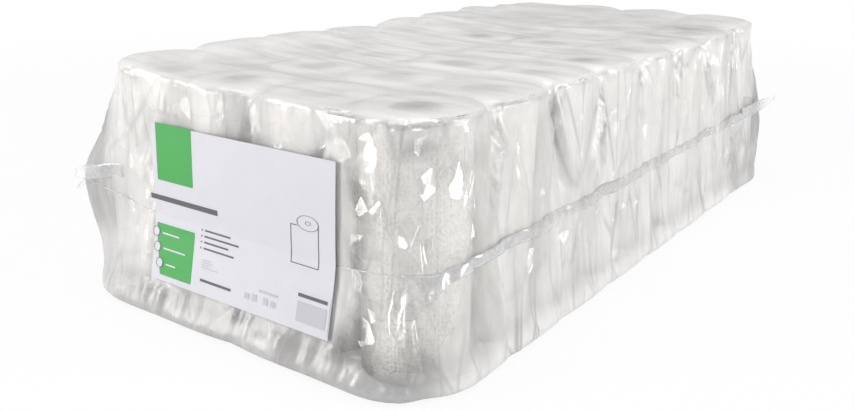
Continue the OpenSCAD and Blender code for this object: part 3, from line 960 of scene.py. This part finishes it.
def makeTab(name, spec):
    deselect()
    bpy.ops.mesh.primitive_grid_add(x_subdivisions=14, y_subdivisions=6, size=1)
    obj = bpy.context.object
    obj.name = name
    co = points(obj)
    t, up = co[:, 0] + 0.5, co[:, 1]
    start, end = np.array(spec["start"]), np.array(spec["end"])
    run = (end - start)[:2] / np.hypot(*(end - start)[:2])
    side = np.array([run[1], -run[0]])
    tall = spec["tall"] * (1 - 0.45 * rise((t - 0.72) / 0.28))
    bend = spec["curl"] * (rise((t - 0.55) / 0.45) * (0.5 + up) + 0.35 * np.sin(t * 9 + up * 3) * (up + 0.5))
    place = start + t[:, None] * (end - start)
    place[:, :2] += side * bend[:, None]
    place[:, 2] += up * tall
    setPoints(obj, place)
    obj.matrix_world = Matrix.Identity(4)
    applyModifier(obj, "SOLIDIFY", thickness=0.0005, offset=0)
    obj.data.materials.append(flapFilm)
    return finishPiece(obj)


flapFilm = makeFlapFilm()
flap = makeFlap()
for name, spec in tabs.items():
    makeTab(name, spec)
print("flap made,", len(flap.data.polygons), "faces")

# Sticker: its paper stays as packed; its print is generic fields and bars, each a thin skin on the paper

labelLook = {"paper": (0.65, 0.65, 0.70), "green": (0.040, 0.365, 0.066), "ink": (0.10, 0.10, 0.11),
             "grey": (0.50, 0.50, 0.54), "lift": 0.00025}
# Fields: left, right, low, high in millimetres from the middle of the rolls, ink, layer
fields = {
    "square": (-111.5, -62, 132, 186.2, "green", 1), "panel": (-115, -61.5, 41.5, 89.5, "green", 1),
    "title": (-123, -30, 112, 117, "ink", 1),
    "line_1": (-48, -14, 94, 95.6, "ink", 1), "line_2": (-48, -3, 88.5, 90.1, "ink", 1),
    "line_3": (-48, -16, 83, 84.6, "ink", 1), "line_4": (-48, -8, 77.5, 79.1, "ink", 1),
    "dot_1": (-52.5, -51, 94, 95.5, "ink", 1), "dot_2": (-52.5, -51, 88.5, 90, "ink", 1),
    "dot_3": (-52.5, -51, 83, 84.5, "ink", 1), "dot_4": (-52.5, -51, 77.5, 79, "ink", 1),
    "small_1": (-49, -37, 67.5, 68.2, "grey", 1), "small_2": (-49, -34, 65.2, 65.9, "grey", 1),
    "small_3": (-49, -38, 62.9, 63.6, "grey", 1), "small_4": (-49, -27, 60.6, 61.3, "grey", 1),
    "foot_line": (-49, -8, 48, 50.4, "ink", 1),
    "mark_1": (10, 16, 47, 52, "grey", 1), "mark_2": (19, 25, 47, 53, "grey", 1),
    "mark_3": (33, 39, 47, 53, "grey", 1), "mark_4": (42, 48, 47, 52, "grey", 1),
    "mark_5": (27, 50, 56.5, 58.5, "grey", 1), "patch": (66, 109, 39, 70, "paper", 1),
    "code": (73, 106, 64.5, 67.5, "ink", 2), "block": (73, 106, 43.5, 60.5, "grey", 2),
    "sheet_left": (60.5, 61.2, 91, 124.5, "ink", 1), "sheet_foot": (60.5, 92.2, 90.5, 91.2, "ink", 1),
    "sheet_right": (91.5, 92.2, 91, 128, "ink", 1), "sheet_top": (60.5, 68, 124, 124.7, "ink", 1),
    "panel_1": (-106, -82, 80, 81.5, "paper", 2), "panel_2": (-103, -72, 66, 67.5, "paper", 2),
    "panel_3": (-98, -84, 51.5, 53, "paper", 2),
}
# Rings and discs: middle, half width, half height, rim in millimetres or None for a disc, ink, layer
rings = {
    "roll_top": (80, 128, 12.2, 6.6, 0.6, "ink", 1), "roll_core": (80.5, 128.2, 3.2, 1.7, 0.5, "ink", 1),
    "disc_1": (-115, 81, 4.7, 4.7, None, "paper", 2), "disc_2": (-112, 67, 4.7, 4.7, None, "paper", 2),
    "disc_3": (-107, 52.5, 4.7, 4.7, None, "paper", 2), "rim_1": (-115, 81, 4.7, 4.7, 0.45, "ink", 3),
    "rim_2": (-112, 67, 4.7, 4.7, 0.45, "ink", 3), "rim_3": (-107, 52.5, 4.7, 4.7, 0.45, "ink", 3),
}


def makePrint(name, colour, rough):
    made, tree, shader, out = blankMaterial(name)
    place = add(tree, "ShaderNodeTexCoord")
    cloud = add(tree, "ShaderNodeTexNoise", Scale=30.0, Detail=3.0)
    join(tree, place.outputs["Object"], cloud.inputs["Vector"])
    tone = add(tree, "ShaderNodeValToRGB")
    tone.color_ramp.elements[0].color = (*[c * 0.955 for c in colour], 1)
    tone.color_ramp.elements[1].color = (*[min(c * 1.03, 1) for c in colour], 1)
    join(tree, cloud.outputs[0], tone.inputs[0])
    join(tree, tone.outputs[0], shader.inputs["Base Color"])
    grain = add(tree, "ShaderNodeTexNoise", Scale=26.0, Detail=5.0)
    join(tree, place.outputs["Object"], grain.inputs["Vector"])
    bump = add(tree, "ShaderNodeBump", Strength=0.25, Distance=0.003)
    join(tree, grain.outputs[0], bump.inputs["Height"])
    join(tree, bump.outputs[0], shader.inputs["Normal"])
    shader.inputs["Roughness"].default_value = rough
    return made


inks = {name: makePrint("label_" + name, labelLook[name], 0.42) for name in ("green", "ink", "grey")}
inks["paper"] = makePrint("label_paper", labelLook["paper"], 0.5)


def labelFront():
    # Front of the sticker's paper: its y for a height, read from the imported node
    co = points(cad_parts["label"])
    heights = np.unique(np.round(co[:, 2], 5))
    return heights, np.array([co[np.abs(co[:, 2] - h) < 0.00002][:, 1].min() for h in heights])


def onLabel(obj, name, ink, layer):
    co = points(obj)
    heights, front = labelFront()
    co[:, 0] += blockMid.x
    co[:, 1] = np.interp(co[:, 2], heights, front) - labelLook["lift"] * layer
    setPoints(obj, co)
    obj.name = "print_" + name
    obj.data.materials.append(inks[ink])
    return finishPiece(obj)


def makeField(name, left, right, low, high, ink, layer):
    deselect()
    wide, tall = (right - left) / 1000, (high - low) / 1000
    bpy.ops.mesh.primitive_grid_add(x_subdivisions=max(2, int(wide / 0.004)), y_subdivisions=max(2, int(tall / 0.003)),
                                    size=1, rotation=(math.pi / 2, 0, 0))
    obj = bpy.context.object
    shiftToOrigin(obj)
    co = points(obj)
    slope = 0.011 * np.clip(0.35 - co[:, 2], 0, 1) * np.clip(-co[:, 0] * 2, 0, 1) if name == "panel" else 0
    co[:, 0] = (left + right) / 2000 + co[:, 0] * wide + slope
    co[:, 2] = (low + high) / 2000 + co[:, 2] * tall
    setPoints(obj, co)
    return onLabel(obj, name, ink, layer)


def makeRing(name, across, up, wide, tall, rim, ink, layer):
    deselect()
    bpy.ops.mesh.primitive_circle_add(vertices=40, radius=wide / 1000, fill_type="NGON", rotation=(math.pi / 2, 0, 0))
    obj = bpy.context.object
    bpy.ops.object.mode_set(mode="EDIT")
    bpy.ops.mesh.select_all(action="SELECT")
    if rim:
        bpy.ops.mesh.inset(thickness=rim / 1000)
        bpy.ops.mesh.delete(type="FACE")
    else:
        bpy.ops.mesh.inset(thickness=wide / 3000)
        bpy.ops.mesh.poke()
    bpy.ops.object.mode_set(mode="OBJECT")
    shiftToOrigin(obj)
    co = points(obj)
    co[:, 0] += across / 1000
    co[:, 2] = co[:, 2] * tall / wide + up / 1000
    setPoints(obj, co)
    return onLabel(obj, name, ink, layer)


for name, spec in fields.items():
    makeField(name, *spec)
for name, spec in rings.items():
    makeRing(name, *spec)
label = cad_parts["label"]
label.data.materials.clear()
label.data.materials.append(inks["paper"])
print("sticker printed")
